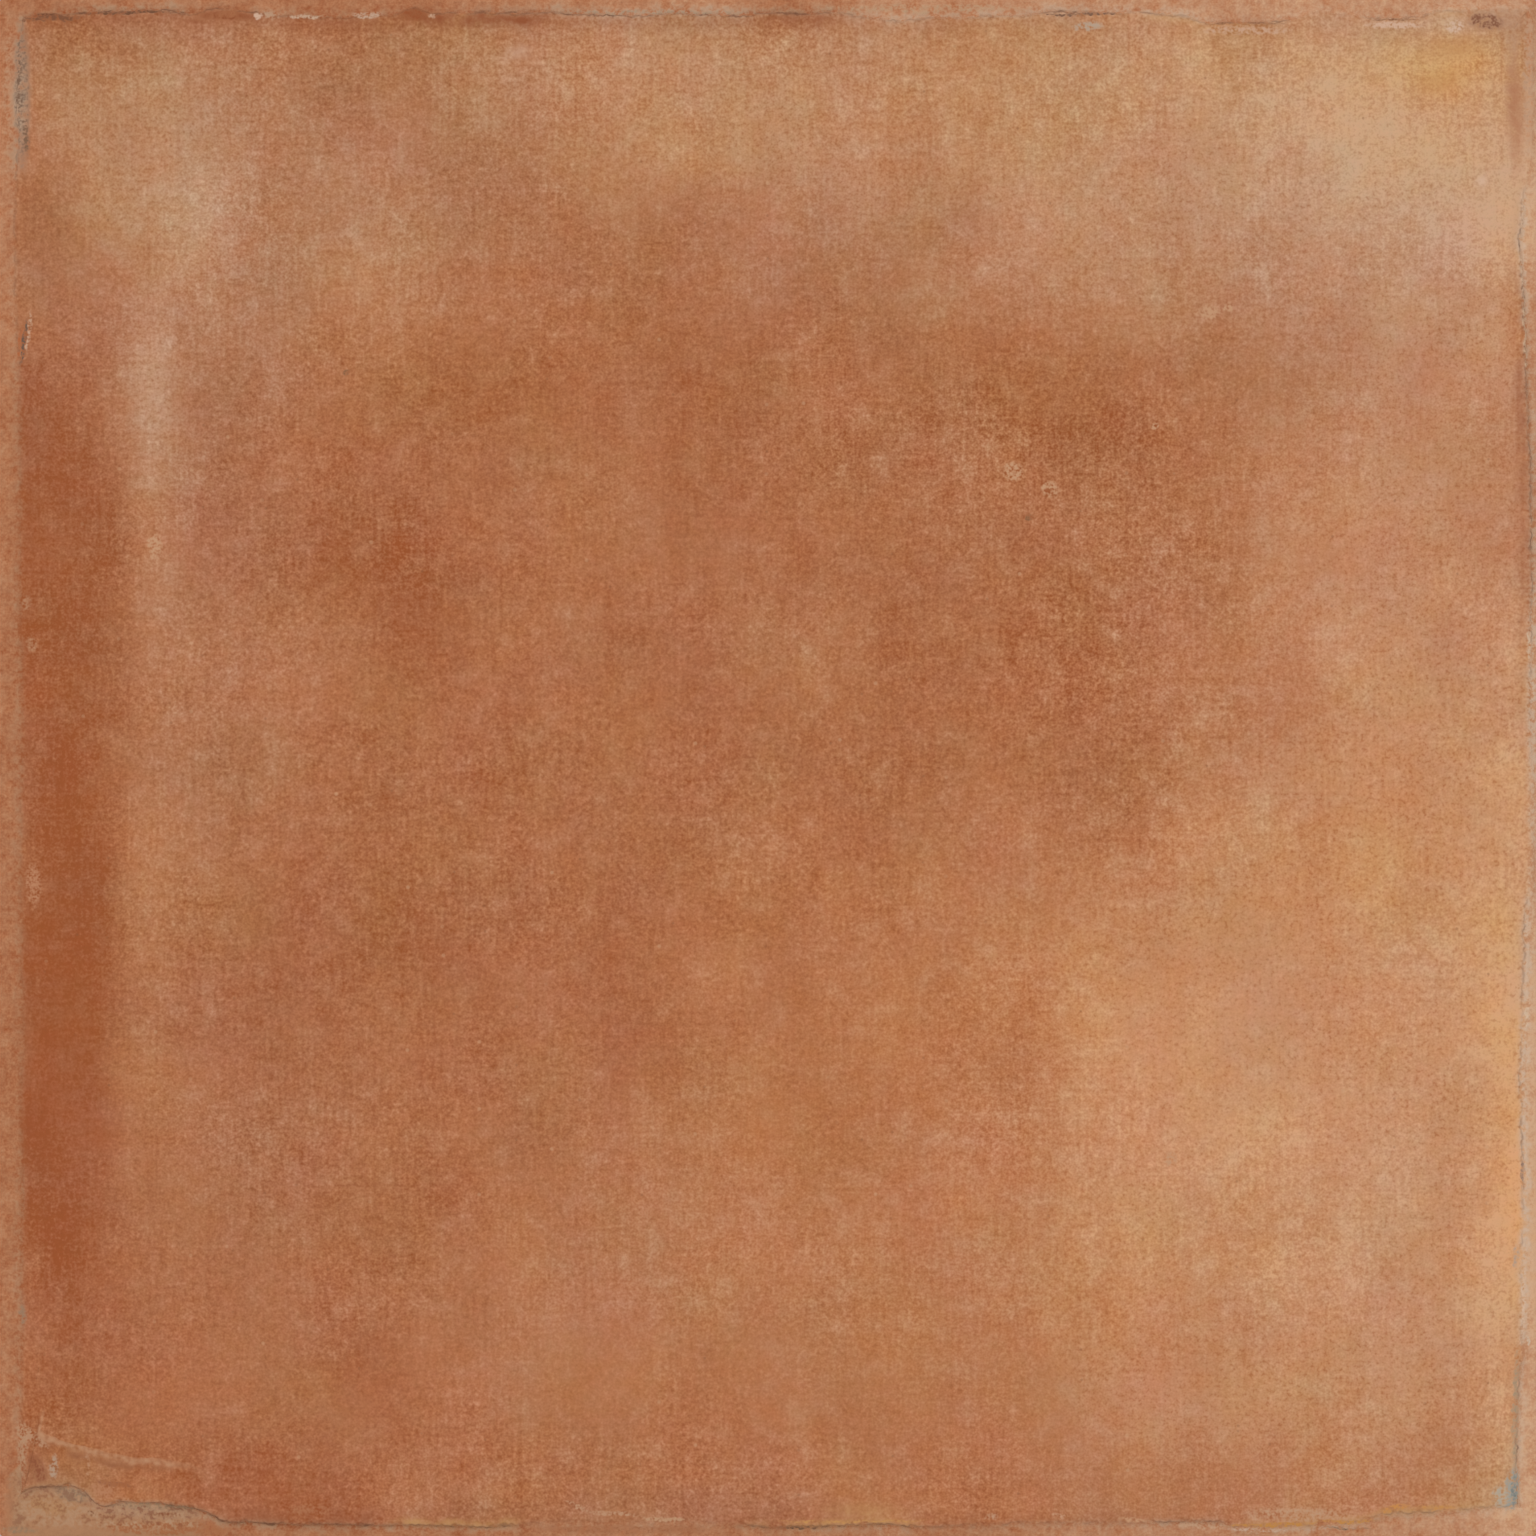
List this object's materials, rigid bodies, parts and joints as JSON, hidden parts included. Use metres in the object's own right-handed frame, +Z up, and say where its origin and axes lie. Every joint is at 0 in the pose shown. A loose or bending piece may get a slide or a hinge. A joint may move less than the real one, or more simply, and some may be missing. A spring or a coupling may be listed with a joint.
{
  "type": "terracotta floor tile",
  "caption": "Square fired-clay floor tile with a worn, chipped face edge above a narrow rim and a grooved bed for mortar.",
  "frame": {"origin": "centre of the bed, the underside that the tile lies on", "axes": "+Z up out of the walking face, +X to the tile's right and +Y to its back as the picture shows it from above"},
  "size_m": [0.3, 0.3, 0.02],
  "materials": {
    "terracotta": "unglazed, matt, worn"
  },
  "bodies": {
    "root": {"floor_tile": "terracotta"}
  },
  "joints": []
}
